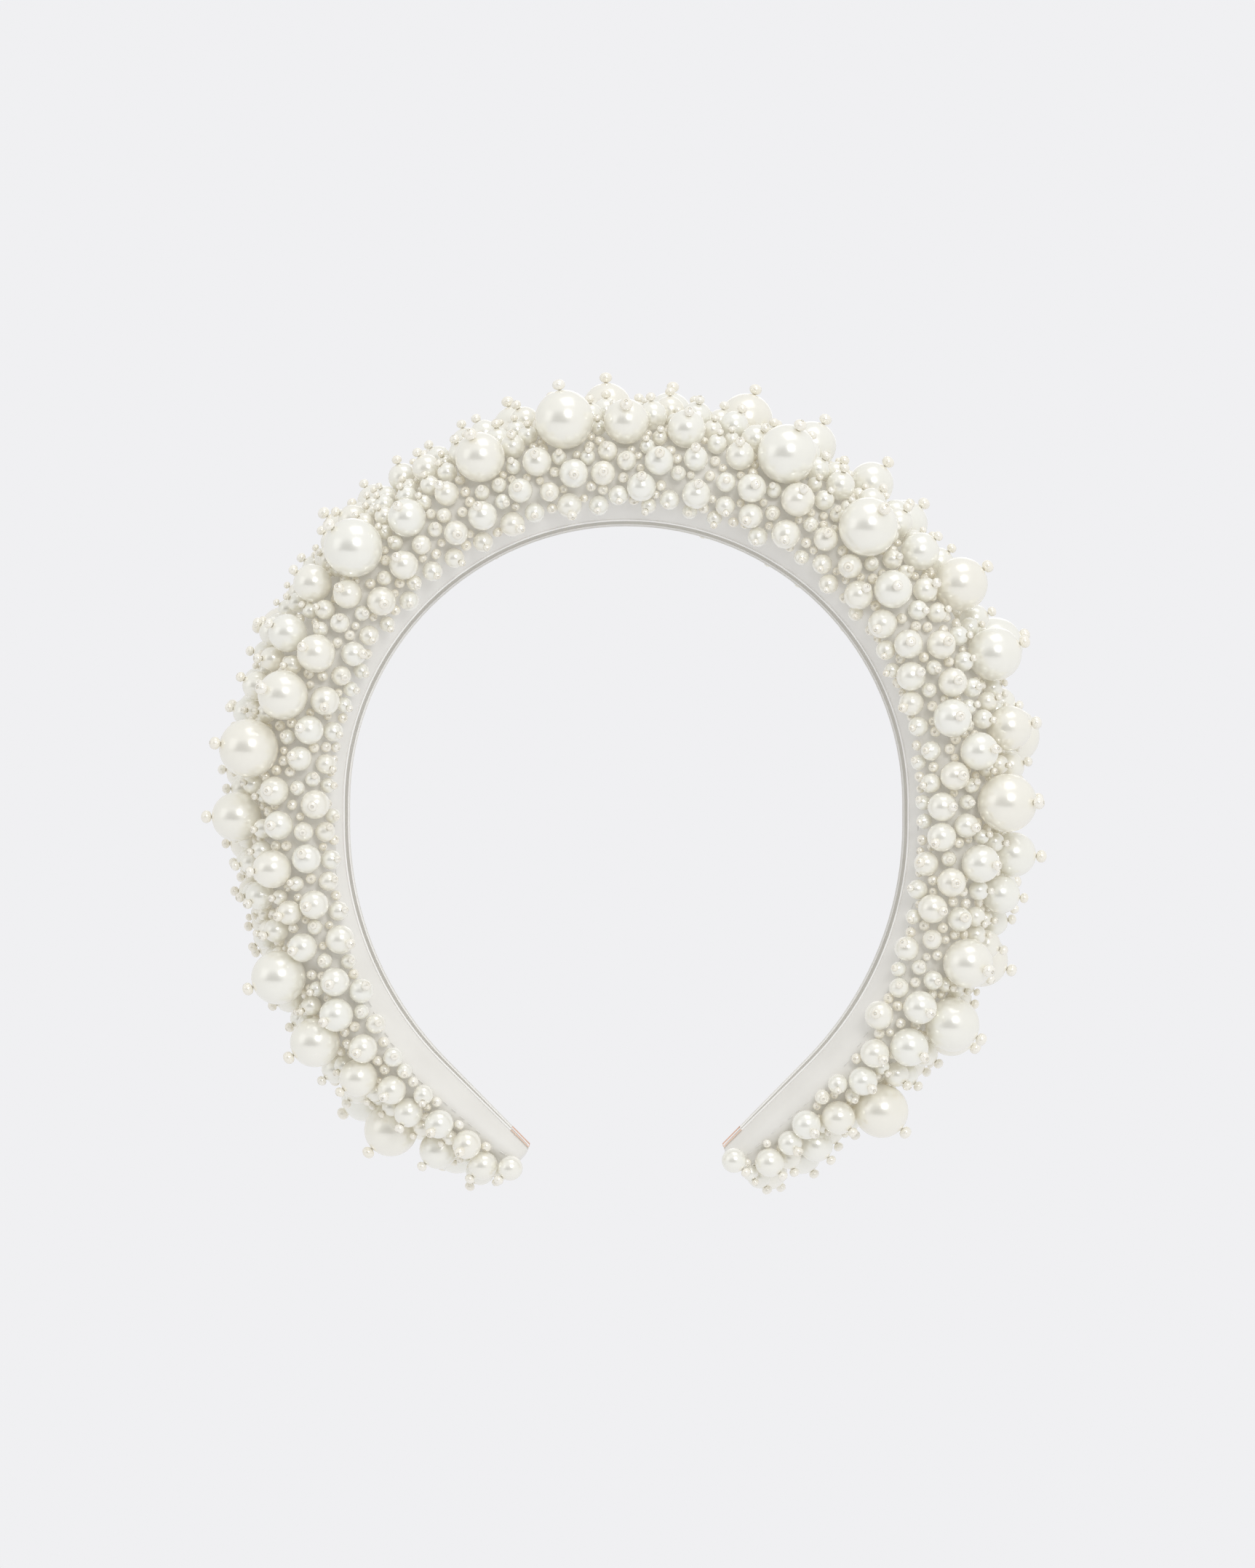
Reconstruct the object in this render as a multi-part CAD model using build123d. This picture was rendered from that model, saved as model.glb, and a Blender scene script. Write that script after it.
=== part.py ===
from build123d import *
import math
import os
import random
import numpy as np

# A padded alice band covered in satin and embroidered with imitation pearls. Millimetres, +Z up.
# The origin is the centre of the crown arc, X runs from the left tip to the right tip, and -Y is the front.
os.makedirs("parts", exist_ok=True)

# Line of the inner face, the same on both sides
head_radius = 62.5  # inner face over the crown of the head
temple_drop = 5.0  # straight run below the crown arc
arm_radius = 75.0  # inward curve of each arm
arm_turn = 45.0  # degrees that each arm curves through
tip_run = 26.7  # straight run to the tip

# Padded section: an ellipse cut off flat on the head side
crown_height = 22.5
crown_half_depth = 18.0
arm_thinning = 8.0  # height lost evenly from the flex line to the tip
arm_narrowing = 4.0  # half depth lost the same way
tip_thinning = 7.0  # more height lost over the last stretch
tip_narrowing = 6.5
tip_stretch = 44.0
section_pitch = 4.0  # furthest apart that two sections of an arm are drawn
belly = 0.45  # height of the section's widest place, as a share of its height

# Layers, from the head outwards
lining_thickness = 0.6
layer_gap = 0.1
cover_thickness = 0.5
core_thickness = 1.2
core_half_width = 7.0
foam_gap = 0.3
tape_length = 5.5
tape_thickness = 0.4
end_wall = 0.6

# Flex line of each shoulder, where the sprung band opens
flex_angle = 60.0  # degrees from the top
flex_lift = 15.0  # height of the axis in the padding
flex_travel = 12.0  # degrees that each arm opens
flex_slit = 0.8  # gap between the foam blocks at the axis

# Beadwork
pearl_sizes = (13.0, 12.0, 11.0, 10.0, 8.5, 7.5, 6.5, 5.5, 4.5, 3.5)
pearl_bore = 0.55  # radius
stop_kinds = {"large": 10.0, "small": 5.0, "tiny": 0.0}  # the pearl size from which each is used
stop_radius = {"large": 1.45, "small": 1.15, "tiny": 0.85}
stop_bore = {"large": 0.42, "small": 0.42, "tiny": 0.3}
stop_length = 0.79  # of a stop or seed bead, as a share of its diameter
thread_radius = {"large": 0.2, "small": 0.2, "tiny": 0.14}
fabric_gap = 0.15  # between a pearl and the cloth
stop_gap = 0.08  # between a pearl and its stop bead
bead_gap = 0.12  # between neighbours
head_gap = 0.35  # between the beads and the head line
plain_edge = [(0, 4.3), (40, 4.3), (108, 3.0), (160, 7.0), (190, 5.0)]  # mm along the band, bare satin there
seed_bore = 0.32
seed_lean = 32  # most degrees that a seed bead's hole leans from upright
pearl_lean = 24
back_reach = (0.12, 0.95)  # where the large pearls of the back are strewn, as a share of the way round
end_margin = 0.5  # from the strewn beads to the band's ends
nudge = 0.4  # steps in which a pearl placed by hand looks for room
thread_end = 0.03  # how far a thread stands out of its bead
stitch_length = 1.3
stitch_radius = 0.12
stitch_pitch = 2.4
stitch_gap = 0.1  # from the satin
stitch_place = 0.09  # radians round the pad, past the edge of the beadwork

quarter = head_radius * math.pi / 2
curve_length = arm_radius * math.radians(arm_turn)
curve_end = quarter + temple_drop + curve_length
half_length = curve_end + tip_run
flex_station = head_radius * math.radians(flex_angle)

# Pearls placed by hand: mm along the band from the top (left is negative), mm from the head line to the
# pearl's centre, diameter, degrees that its thread leans to the front. The last mark puts it behind the ridge
hand_pearls = [
    (-189, 6, 5.5, 10, ""), (-188, 10, 6.5, 0, ""), (-182, 9, 6.5, 60, ""), (-174, 15, 8.5, 10, ""),
    (-170, 10, 6.5, 55, ""), (-163, 19.5, 12.0, 5, ""), (-158, 12, 6.5, 60, ""), (-153, 16, 8.5, 15, ""),
    (-150, 11, 6.5, 70, ""), (-143, 19.5, 11.0, 5, ""), (-141, 12, 7.5, 50, ""), (-136, 9, 6.5, 75, ""),
    (-130, 20.5, 12.0, 5, ""), (-128, 13, 6.5, 60, ""), (-125, 21, 7.5, 0, "behind"),
    (-119, 8, 6.5, 70, ""), (-112, 21, 7.5, 0, "behind"), (-111, 16, 8.5, 25, ""),
    (-107, 23, 8.5, 0, "behind"), (-103, 14, 6.5, 70, ""), (-101, 24, 11.0, 0, ""), (-96, 15, 6.5, 75, ""),
    (-93, 24, 8.5, 0, "behind"), (-89, 21.5, 13.0, 18, ""), (-84, 9, 6.5, 65, ""), (-83, 23.5, 10.0, 0, "behind"),
    (-79, 16.5, 11.0, 47, ""), (-77, 21.5, 7.5, 5, "behind"), (-70, 13, 8.5, 54, ""), (-69, 21, 8.5, 30, ""),
    (-60, 22, 8.5, 5, ""), (-58, 14, 6.5, 60, ""), (-52, 19.5, 13.0, 23, ""), (-47, 9, 6.5, 60, ""),
    (-44, 22, 11.0, 0, "behind"), (-41, 16.5, 8.5, 55, ""), (-33, 23, 10.0, 10, "behind"),
    (-29, 8, 6.5, 60, ""), (-25, 20, 11.0, 40, ""), (-18, 26, 10.0, 0, "behind"), (-16, 15, 6.5, 70, ""),
    (-10, 23, 13.0, 5, ""), (-3, 27, 11.0, 0, "behind"), (0, 21.5, 10.0, 57, ""), (3, 7, 6.5, 60, ""),
    (6, 13, 6.5, 70, ""), (7, 26, 10.0, 0, "behind"), (10, 21, 8.5, 47, ""), (14, 7, 6.5, 60, ""),
    (19, 28, 12.0, 0, "behind"), (27, 22, 13.0, 31, ""), (30, 28, 11.0, 0, "behind"),
    (31, 14, 7.5, 60, ""), (41, 28, 10.0, 5, "behind"), (45, 18, 13.0, 51, ""), (49, 26.5, 11.0, 5, "behind"),
    (54, 23, 8.5, 5, ""), (56, 12.5, 8.5, 80, ""), (55, 6, 6.5, 60, ""), (62, 26, 12.0, 0, ""),
    (69, 15, 6.5, 70, ""), (74, 25.5, 12.0, 0, ""), (76, 14, 6.5, 75, ""), (81, 11.5, 8.5, 75, ""),
    (72, 6, 6.5, 60, ""), (86, 24, 10.0, 0, ""), (89, 16, 8.5, 51, ""), (93, 10, 6.5, 70, ""),
    (98, 21.5, 13.0, 30, ""), (99, 7, 6.5, 60, ""), (108, 24, 10.0, 0, ""), (110, 16, 8.5, 51, ""),
    (113, 10, 6.5, 80, ""), (115, 22, 8.5, 0, ""), (120, 7, 6.5, 60, ""), (127, 23, 12.0, 0, "behind"),
    (128, 18, 11.0, 48, ""), (139, 20.5, 12.0, 0, ""), (139, 12, 7.5, 60, ""), (146, 14.5, 8.5, 45, ""),
    (146, 9, 6.5, 60, ""), (154, 11, 6.5, 55, ""), (158, 19, 12.0, 0, ""), (165, 13, 7.5, 20, ""),
    (166, 9, 6.5, 55, ""), (173, 14.5, 7.5, 5, ""), (174, 9.5, 5.5, 50, ""), (181, 9.5, 6.5, 10, ""),
    (189, 3.5, 5.5, 10, ""),
]
# Large pearls of the back, which are strewn: diameter and how many
back_pearls = [(13.0, 6), (12.0, 6), (11.0, 8), (10.0, 8), (8.5, 22), (7.5, 20)]
# The rest, largest first: diameter, how many places are tried, and the most that are sewn on
small_pearls = [(6.5, 3000, 56), (5.5, 6000, 100), (4.5, 16000, 230), (3.5, 50000, 700)]
# Seed beads sewn straight on to the satin, which fill the gaps: diameter, places tried, most
seed_beads = [(2.4, 60000, 520), (1.9, 60000, 520)]


def head_line(station):
    """The inner face's line at a distance along it: a point, and the direction away from the head."""
    side = -1 if station < 0 else 1
    run = abs(station)
    centre_x = head_radius - arm_radius
    if run <= quarter:
        angle = run / head_radius
        out = (math.sin(angle), math.cos(angle))
        point = (head_radius * out[0], head_radius * out[1])
    elif run <= quarter + temple_drop:
        out = (1.0, 0.0)
        point = (head_radius, quarter - run)
    else:
        angle = min((run - quarter - temple_drop) / arm_radius, math.radians(arm_turn))
        past = max(0.0, run - curve_end)
        out = (math.cos(angle), -math.sin(angle))
        across, down = arm_radius * out[0] + past * out[1], arm_radius * out[1] - past * out[0]
        point = (centre_x + across, down - temple_drop)
    return np.array([side * point[0], 0.0, point[1]]), np.array([side * out[0], 0.0, out[1]])


def padding(station):
    """Height and half depth of the padded section."""
    run = min(abs(station), half_length)
    arm = max(0.0, run - flex_station) / (half_length - flex_station)
    tip = max(0.0, run - half_length + tip_stretch) / tip_stretch
    height = crown_height - arm_thinning * arm - tip_thinning * tip**1.1
    return height, crown_half_depth - arm_narrowing * arm - tip_narrowing * tip**1.1


def base_half_width(station):
    """Half the width of the section's flat side."""
    return padding(station)[1] * math.sqrt(1 - (belly / (1 - belly)) ** 2)


def pad_surface(station, turn):
    """A point of the cover's outside; turn is 0 on the ridge and negative on the front."""
    height, depth = padding(station)
    point, out = head_line(station)
    lift = height * (belly + (1 - belly) * math.cos(turn))
    return point + lift * out + np.array([0.0, depth * math.sin(turn), 0.0])


def pad_normal(station, turn):
    step = 0.01
    along = pad_surface(station + step, turn) - pad_surface(station - step, turn)
    round_it = pad_surface(station, turn + step) - pad_surface(station, turn - step)
    normal = np.cross(along, round_it)
    return normal / np.linalg.norm(normal)


def section_plane(station):
    point, out = head_line(station)
    across = np.cross(out, [0.0, 1.0, 0.0])
    return Plane(origin=tuple(point), x_dir=tuple(out), z_dir=tuple(across))


def dome_section(inset, base_lift):
    """The padded section drawn smaller by inset, with its flat side at base_lift."""

    def face(station):
        height, depth = padding(station)
        centre, rise, reach = belly * height, (1 - belly) * height - inset, depth - inset
        end = math.degrees(math.acos((base_lift - centre) / rise))
        plane = section_plane(station)
        middle = Plane(origin=plane.from_local_coords((centre, 0, 0)), x_dir=plane.x_dir, z_dir=plane.z_dir)
        dome = Edge.make_ellipse(rise, reach, plane=middle, start_angle=-end, end_angle=end)
        return Face(Wire([dome, Edge.make_line(dome @ 1, dome @ 0)]))

    return face


def strip_section(low, high, half_width):
    """A flat strip's section, between two distances from the head line."""

    def face(station):
        wide = half_width(station)
        corners = [(low, -wide), (high, -wide), (high, wide), (low, wide)]
        plane = section_plane(station)
        return Face(Wire.make_polygon([plane.from_local_coords((x, y, 0)) for x, y in corners], close=True))

    return face


def crown_run(section):
    """The part of a band-shaped piece between the two flex lines."""
    return revolve(section(-flex_station), Axis((0, 0, 0), (0, 1, 0)), 2 * flex_angle)


def arm_run(section, side, end):
    """The part of a band-shaped piece from a flex line to a distance along the band."""
    changes = [flex_station, quarter, quarter + temple_drop, half_length - tip_stretch, curve_end, end]
    stations = [flex_station]
    for start, stop in zip(changes, changes[1:]):
        steps = math.ceil((stop - start) / section_pitch)
        stations += [start + (stop - start) * (k + 1) / steps for k in range(steps)]
    return loft([section(side * s) for s in stations])


def whole_run(section, end):
    return crown_run(section) + arm_run(section, -1, end) + arm_run(section, 1, end)


def only_solid(shape):
    solids = shape.solids()
    return solids[0] if len(solids) == 1 else Compound(children=list(solids))


def flex_axis(side):
    point, out = head_line(side * flex_station)
    return point + flex_lift * out


def flex_gap(side):
    """The room between the foam blocks at a flex line: a slit below the axis and a wedge above it."""
    plane = section_plane(side * flex_station)
    half_slit, top = flex_slit / 2, crown_height + 2
    spread = half_slit + (top - flex_lift) * math.tan(math.radians(flex_travel / 2 + 0.8))
    outline = [(-1, -half_slit), (flex_lift, -half_slit), (top, -spread)]
    outline += [(x, -z) for x, z in reversed(outline)]
    face = Face(Wire.make_polygon([plane.from_local_coords((x, 0, z)) for x, z in outline], close=True))
    return extrude(face, amount=2 * crown_half_depth, dir=(0, 1, 0), both=True)


def write(name, shape):
    export_step(shape, os.path.join("parts", name + ".step"))
    print(name, len(shape.solids()), round(shape.volume, 1))


# Soft layers and the core


def build_cover():
    outside = whole_run(dome_section(0, lining_thickness + layer_gap), half_length)
    inside = whole_run(
        dome_section(cover_thickness, lining_thickness + layer_gap + cover_thickness), half_length - end_wall
    )
    write("satin_cover", only_solid(outside - inside))


def build_lining():
    def half_width(station):
        return base_half_width(station) - 0.35

    end = half_length - tape_length - layer_gap
    write("inner_lining", only_solid(whole_run(strip_section(0, lining_thickness, half_width), end)))
    for side, name in ((-1, "left"), (1, "right")):
        section = strip_section(0, tape_thickness, half_width)
        steps = (half_length - tape_length, half_length)
        write("end_tape_" + name, loft([section(side * s) for s in steps]))


def build_core():
    low = lining_thickness + 2 * layer_gap + cover_thickness

    def half_width(station):
        return core_half_width * base_half_width(station) / base_half_width(0)

    write("spring_core", only_solid(whole_run(strip_section(low, low + core_thickness, half_width), half_length - 4)))


def build_foam():
    base = lining_thickness + 3 * layer_gap + cover_thickness + core_thickness + 0.1
    section = dome_section(cover_thickness + foam_gap, base)
    gaps = flex_gap(-1) + flex_gap(1)
    write("foam_pad_crown", only_solid(crown_run(section) - gaps))
    for side, name in ((-1, "left"), (1, "right")):
        write("foam_pad_" + name, only_solid(arm_run(section, side, half_length - 2) - gaps))


# Beadwork


def body_of(station):
    if abs(station) < flex_station:
        return "crown"
    return "left" if station < 0 else "right"


def opened(point, body, degrees):
    """Where a point of an arm goes when the arm opens."""
    if body == "crown":
        return point
    side = -1 if body == "left" else 1
    angle = math.radians(-side * degrees)
    arm = point - flex_axis(side)
    turned = np.array([arm[0] * math.cos(angle) + arm[2] * math.sin(angle), arm[1],
                       arm[2] * math.cos(angle) - arm[0] * math.sin(angle)])
    return flex_axis(side) + turned


class Beadwork:
    """Every bead that is sewn on, kept clear of the others with the arms at rest and open."""

    openings = (0.0, flex_travel / 2, flex_travel + 0.5)

    def __init__(self):
        self.pearls, self.seeds = [], []
        self.centres = np.zeros((len(self.openings), 0, 3))
        self.radii = np.zeros(0)

    def claim(self, station, balls):
        """Keep the room of some balls, each a centre and a radius, unless something is in the way."""
        point, out = head_line(station)
        for place, radius in balls:
            if (place - point) @ out < radius + head_gap:
                return False
            if place[2] > 0 and np.hypot(place[0], place[2]) < head_radius + radius + head_gap:
                return False
        sizes = np.array([radius for _, radius in balls])
        body, rows = body_of(station), []
        for taken, degrees in zip(self.centres, self.openings):
            places = np.array([opened(place, body, degrees) for place, _ in balls])
            room = np.linalg.norm(taken[:, None] - places, axis=2) - self.radii[:, None] - sizes
            if room.size and room.min() < bead_gap:
                return False
            rows.append(places)
        self.centres = np.concatenate([self.centres, np.array(rows)], axis=1)
        self.radii = np.concatenate([self.radii, sizes])
        return True

    def sew_pearl(self, station, turn, size, axis):
        """Sew a pearl with its stop bead on at a place of the pad, if there is room for it."""
        radius, kind = size / 2, stop_kind(size)
        centre = pad_surface(station, turn) + (radius + fabric_gap) * pad_normal(station, turn)
        stop = centre + (radius + stop_gap + stop_length * stop_radius[kind]) * axis
        if not self.claim(station, [(centre, radius), (stop, stop_radius[kind])]):
            return False
        self.pearls.append((body_of(station), size, centre, axis))
        return True

    def sew_seed(self, station, turn, size, axis):
        centre = pad_surface(station, turn) + (size / 2 + fabric_gap) * pad_normal(station, turn)
        if not self.claim(station, [(centre, size / 2)]):
            return False
        self.seeds.append((body_of(station), size, centre, axis))
        return True


def stop_kind(size):
    return next(kind for kind, least in stop_kinds.items() if size >= least)


def turn_for(station, size, lift, side):
    """How far round the pad a pearl sits when its centre is at a height above the head line."""
    low, high = 0.0, 2.0
    for _ in range(30):
        middle = (low + high) / 2
        point, out = head_line(station)
        centre = pad_surface(station, side * middle) + (size / 2 + fabric_gap) * pad_normal(station, side * middle)
        if (centre - point) @ out > lift:
            low = middle
        else:
            high = middle
    return side * low


def leaning(station, turn, toward_front):
    """A thread's direction, outwards in the hoop's plane and then leaned to the front."""
    out = head_line(station)[1]
    angle = math.radians(toward_front)
    across = 1 if turn > 0 else -1
    return out * math.cos(angle) + np.array([0.0, across * math.sin(angle), 0.0])


def tilted(rng, axis, most):
    """A direction up to so many degrees from another."""
    push = np.array([rng.gauss(0, 1) for _ in range(3)])
    push -= (push @ axis) * axis
    push /= np.linalg.norm(push)
    angle = math.radians(most) * rng.random()
    return axis * math.cos(angle) + push * math.sin(angle)


def edge_turn(station):
    """How far round the pad the beads go, which leaves the satin bare beside the inner edge."""
    bare = np.interp(abs(station), *zip(*plain_edge))
    return math.acos(max(-1.0, min(1.0, (bare / padding(station)[0] - belly) / (1 - belly))))


def strew(sew, rng, size, tries, wanted, reach, lean):
    """Sew beads of one size on at random places, in a share of the way round the back and the front."""
    sewn = 0
    for _ in range(tries):
        station = rng.uniform(-half_length + end_margin, half_length - end_margin)
        turn = rng.uniform(*reach) * edge_turn(station)
        if rng.random() * crown_half_depth > padding(station)[1]:
            continue
        sewn += sew(station, turn, size, tilted(rng, pad_normal(station, turn), lean))
        if sewn == wanted:
            break
    return sewn


def sew_beads():
    work, rng = Beadwork(), random.Random(11)
    for station, lift, size, lean, mark in hand_pearls:
        side = 1 if mark else -1
        for shift in sorted((k * nudge for k in range(-14, 15)), key=abs):
            place = station + shift
            if abs(place) > half_length + end_margin:
                continue
            turn = turn_for(place, size, lift, side)
            if work.sew_pearl(place, turn, size, leaning(place, turn, lean)):
                break
        else:
            print("no room for the pearl at", station, size)
    for size, count in back_pearls:
        strew(work.sew_pearl, rng, size, 4000, count, back_reach, pearl_lean)
    for size, tries, most in small_pearls:
        print("pearls of", size, "mm:", strew(work.sew_pearl, rng, size, tries, most, (-1, 1), pearl_lean))
    for size, tries, most in seed_beads:
        print("seed beads of", size, "mm:", strew(work.sew_seed, rng, size, tries, most, (-1, 1), seed_lean))
    return work


def holed_ball(radius, half_length, bore):
    """A bead with its bore along Z, cut flat at its ends if it is shorter than its ball."""
    ball = Solid.make_sphere(radius)
    if half_length < radius:
        ball = ball & Box(3 * radius, 3 * radius, 2 * half_length)
    return ball - Cylinder(bore, 3 * radius)


def label(size):
    return f"{size:g}mm".replace(".", "_")


def build_beads(work):
    pearls = {size: holed_ball(size / 2, size, pearl_bore) for size in pearl_sizes}
    stops = {k: holed_ball(r, stop_length * r, stop_bore[k]) for k, r in stop_radius.items()}
    seeds = {size: holed_ball(size / 2, stop_length * size / 2, seed_bore) for size, _, _ in seed_beads}
    groups = {}

    def add(name, body, lay, piece):
        groups.setdefault(f"{name}_{body}", []).append(lay.location * piece)

    def thread(kind, start, end):
        stem = Cylinder(thread_radius[kind], end - start, align=(Align.CENTER, Align.CENTER, Align.MIN))
        return Pos(0, 0, start) * stem

    for body, size, centre, axis in work.pearls:
        kind, lay = stop_kind(size), Plane(origin=tuple(centre), z_dir=tuple(axis))
        near = size / 2 + stop_gap
        length = 2 * stop_length * stop_radius[kind]
        add("pearls_" + label(size), body, lay, pearls[size])
        add("stop_beads_" + kind, body, lay, Pos(0, 0, near + length / 2) * stops[kind])
        add("threads", body, lay, thread(kind, -size / 2 - thread_end, near + length))
    for body, size, centre, axis in work.seeds:
        lay = Plane(origin=tuple(centre), z_dir=tuple(axis))
        half = stop_length * size / 2
        add("seed_beads_" + label(size), body, lay, seeds[size])
        add("threads", body, lay, thread("tiny", -half - thread_end, half + thread_end))
    for name, pieces in sorted(groups.items()):
        write(name, Compound(children=[p.solid() for p in pieces]))


def build_stitches(work):
    """Hand stitches along the edge of the beadwork, on both faces of each arm."""
    for side, name in ((-1, "left"), (1, "right")):
        stitches = []
        station = quarter + temple_drop
        while station < half_length - stitch_pitch:
            for face in (-1, 1):
                turn = face * (edge_turn(station) + stitch_place)
                start = pad_surface(side * station, turn)
                normal = pad_normal(side * station, turn)
                along = pad_surface(side * (station + stitch_length), turn) - start
                along /= np.linalg.norm(along)
                start = start + (stitch_radius + stitch_gap) * normal
                ends = np.array([start, start + stitch_length * along])
                room = np.linalg.norm(work.centres[0][:, None] - ends, axis=2).min(axis=1) - work.radii
                if room.min() > 3 * stitch_radius + stitch_gap:
                    thread = Cylinder(stitch_radius, stitch_length, align=(Align.CENTER, Align.CENTER, Align.MIN))
                    stitches.append(Plane(origin=tuple(start), z_dir=tuple(along)).location * thread)
            station += stitch_pitch
        write("edge_stitches_" + name, Compound(children=[s.solid() for s in stitches]))


build_cover()
build_lining()
build_core()
build_foam()
beadwork = sew_beads()
print("pearls in all:", len(beadwork.pearls), "and seed beads:", len(beadwork.seeds))
build_beads(beadwork)
build_stitches(beadwork)
for side, name in ((-1, "left"), (1, "right")):
    print("flex axis", name, [round(float(v), 3) for v in flex_axis(side)])
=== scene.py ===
import math
import random

import bpy
import numpy as np
from mathutils import Matrix, Vector


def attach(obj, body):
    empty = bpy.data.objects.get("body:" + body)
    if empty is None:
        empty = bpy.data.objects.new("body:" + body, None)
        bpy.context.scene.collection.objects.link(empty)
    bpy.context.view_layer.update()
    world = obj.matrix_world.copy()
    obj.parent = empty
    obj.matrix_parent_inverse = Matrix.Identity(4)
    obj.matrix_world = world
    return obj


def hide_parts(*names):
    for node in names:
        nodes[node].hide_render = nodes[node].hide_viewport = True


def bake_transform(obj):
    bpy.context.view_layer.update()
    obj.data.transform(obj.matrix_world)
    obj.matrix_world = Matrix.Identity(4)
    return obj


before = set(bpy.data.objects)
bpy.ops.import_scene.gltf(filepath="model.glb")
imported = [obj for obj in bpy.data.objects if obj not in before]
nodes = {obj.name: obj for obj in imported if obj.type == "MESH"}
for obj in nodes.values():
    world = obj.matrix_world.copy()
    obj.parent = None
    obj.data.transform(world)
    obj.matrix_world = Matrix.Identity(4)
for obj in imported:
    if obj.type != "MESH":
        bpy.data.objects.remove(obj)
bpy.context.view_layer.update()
scene = bpy.context.scene
scene.view_settings.view_transform = "Standard"
mm = 0.001
print("frame loaded with", len(nodes), "nodes")

# ---- camera, lights and floor

cameraSetup = {"distance": 0.978, "x": 0.0003, "z": 0.0041, "lens": 100.0}
cameraData = bpy.data.cameras.new("productCamera")
cameraData.lens = cameraSetup["lens"]
cameraData.sensor_width = 36.0
cameraObject = bpy.data.objects.new("productCamera", cameraData)
cameraObject.location = (cameraSetup["x"], -cameraSetup["distance"], cameraSetup["z"])
cameraObject.rotation_euler = (math.radians(90), 0, 0)
scene.collection.objects.link(cameraObject)
scene.camera = cameraObject

studio = {
    "backdrop": (0.871, 0.871, 0.887),
    "surround": (1.0, 0.995, 0.985),
    "surroundStrength": 0.80,
    "dimColour": (0.27, 0.265, 0.25),
    "dimDirection": (-0.28, -0.93, -0.22),  # the dark side of the studio, behind the camera
    "dimEdges": (0.70, 0.93),  # where the dark side starts and where it is darkest
    "lights": [
        # name, place, size, watts
        ("keyLight", (0.28, -1.05, 0.42), 0.32, 3.0),
        ("topLight", (0.15, -0.30, 0.95), 0.60, 1.0),
        ("leftLight", (-0.85, -0.45, 0.25), 0.55, 0.25),
        ("backLight", (0.1, 0.95, 0.45), 0.60, 0.5),
    ],
    "floorHeight": -0.55,
    "floorSize": 4.0,
    "floorColour": (0.30, 0.30, 0.305),
    "floorGlow": 0.63,  # lit from below, so that it runs into the backdrop
}


def link(tree, fromNode, fromSocket, toNode, toSocket):
    tree.links.new(fromNode.outputs[fromSocket], toNode.inputs[toSocket])


def buildWorld():
    world = bpy.data.worlds.new("studioWorld")
    world.use_nodes = True
    scene.world = world
    tree = world.node_tree
    tree.nodes.clear()
    output = tree.nodes.new("ShaderNodeOutputWorld")
    mix = tree.nodes.new("ShaderNodeMixShader")
    seen = tree.nodes.new("ShaderNodeBackground")
    seen.inputs["Color"].default_value = (*studio["backdrop"], 1)
    glow = tree.nodes.new("ShaderNodeBackground")
    glow.inputs["Strength"].default_value = studio["surroundStrength"]
    path = tree.nodes.new("ShaderNodeLightPath")
    place = tree.nodes.new("ShaderNodeTexCoord")
    facing = tree.nodes.new("ShaderNodeVectorMath")
    facing.operation = "DOT_PRODUCT"
    facing.inputs[1].default_value = Vector(studio["dimDirection"]).normalized()
    ramp = tree.nodes.new("ShaderNodeValToRGB")
    ramp.color_ramp.elements[0].position = studio["dimEdges"][0]
    ramp.color_ramp.elements[0].color = (*studio["surround"], 1)
    ramp.color_ramp.elements[1].position = studio["dimEdges"][1]
    ramp.color_ramp.elements[1].color = (*studio["dimColour"], 1)
    link(tree, place, "Generated", facing, 0)
    link(tree, facing, "Value", ramp, "Fac")
    link(tree, ramp, "Color", glow, "Color")
    link(tree, path, "Is Camera Ray", mix, 0)
    link(tree, glow, 0, mix, 1)
    link(tree, seen, 0, mix, 2)
    link(tree, mix, 0, output, 0)


def aimAt(obj, target):
    direction = Vector(target) - obj.location
    obj.rotation_euler = direction.to_track_quat("-Z", "Y").to_euler()


def buildLights():
    for name, place, size, watts in studio["lights"]:
        data = bpy.data.lights.new(name, "AREA")
        data.shape = "SQUARE"
        data.size = size
        data.energy = watts
        light = bpy.data.objects.new(name, data)
        light.location = place
        light.visible_camera = False
        scene.collection.objects.link(light)
        aimAt(light, (0, 0, 0))


def buildFloor():
    bpy.ops.object.select_all(action="DESELECT")
    bpy.ops.mesh.primitive_plane_add(size=studio["floorSize"], location=(0, -0.1, studio["floorHeight"]))
    floor = bpy.context.object
    floor.name = "studioFloor"
    paint = bpy.data.materials.new("floorPaint")
    paint.use_nodes = True
    shader = paint.node_tree.nodes["Principled BSDF"]
    shader.inputs["Base Color"].default_value = (*studio["floorColour"], 1)
    shader.inputs["Emission Color"].default_value = (*studio["backdrop"], 1)
    shader.inputs["Emission Strength"].default_value = studio["floorGlow"]
    shader.inputs["Roughness"].default_value = 0.9
    floor.data.materials.append(paint)


buildWorld()
buildLights()
buildFloor()
print("studio ready")

# ---- finishes


def newMaterial(name, slotColour, roughness):
    material = bpy.data.materials.new(name)
    material.use_nodes = True
    shader = material.node_tree.nodes["Principled BSDF"]
    shader.inputs["Base Color"].default_value = (*slotColour, 1)
    shader.inputs["Roughness"].default_value = roughness
    return material, material.node_tree, shader


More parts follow.
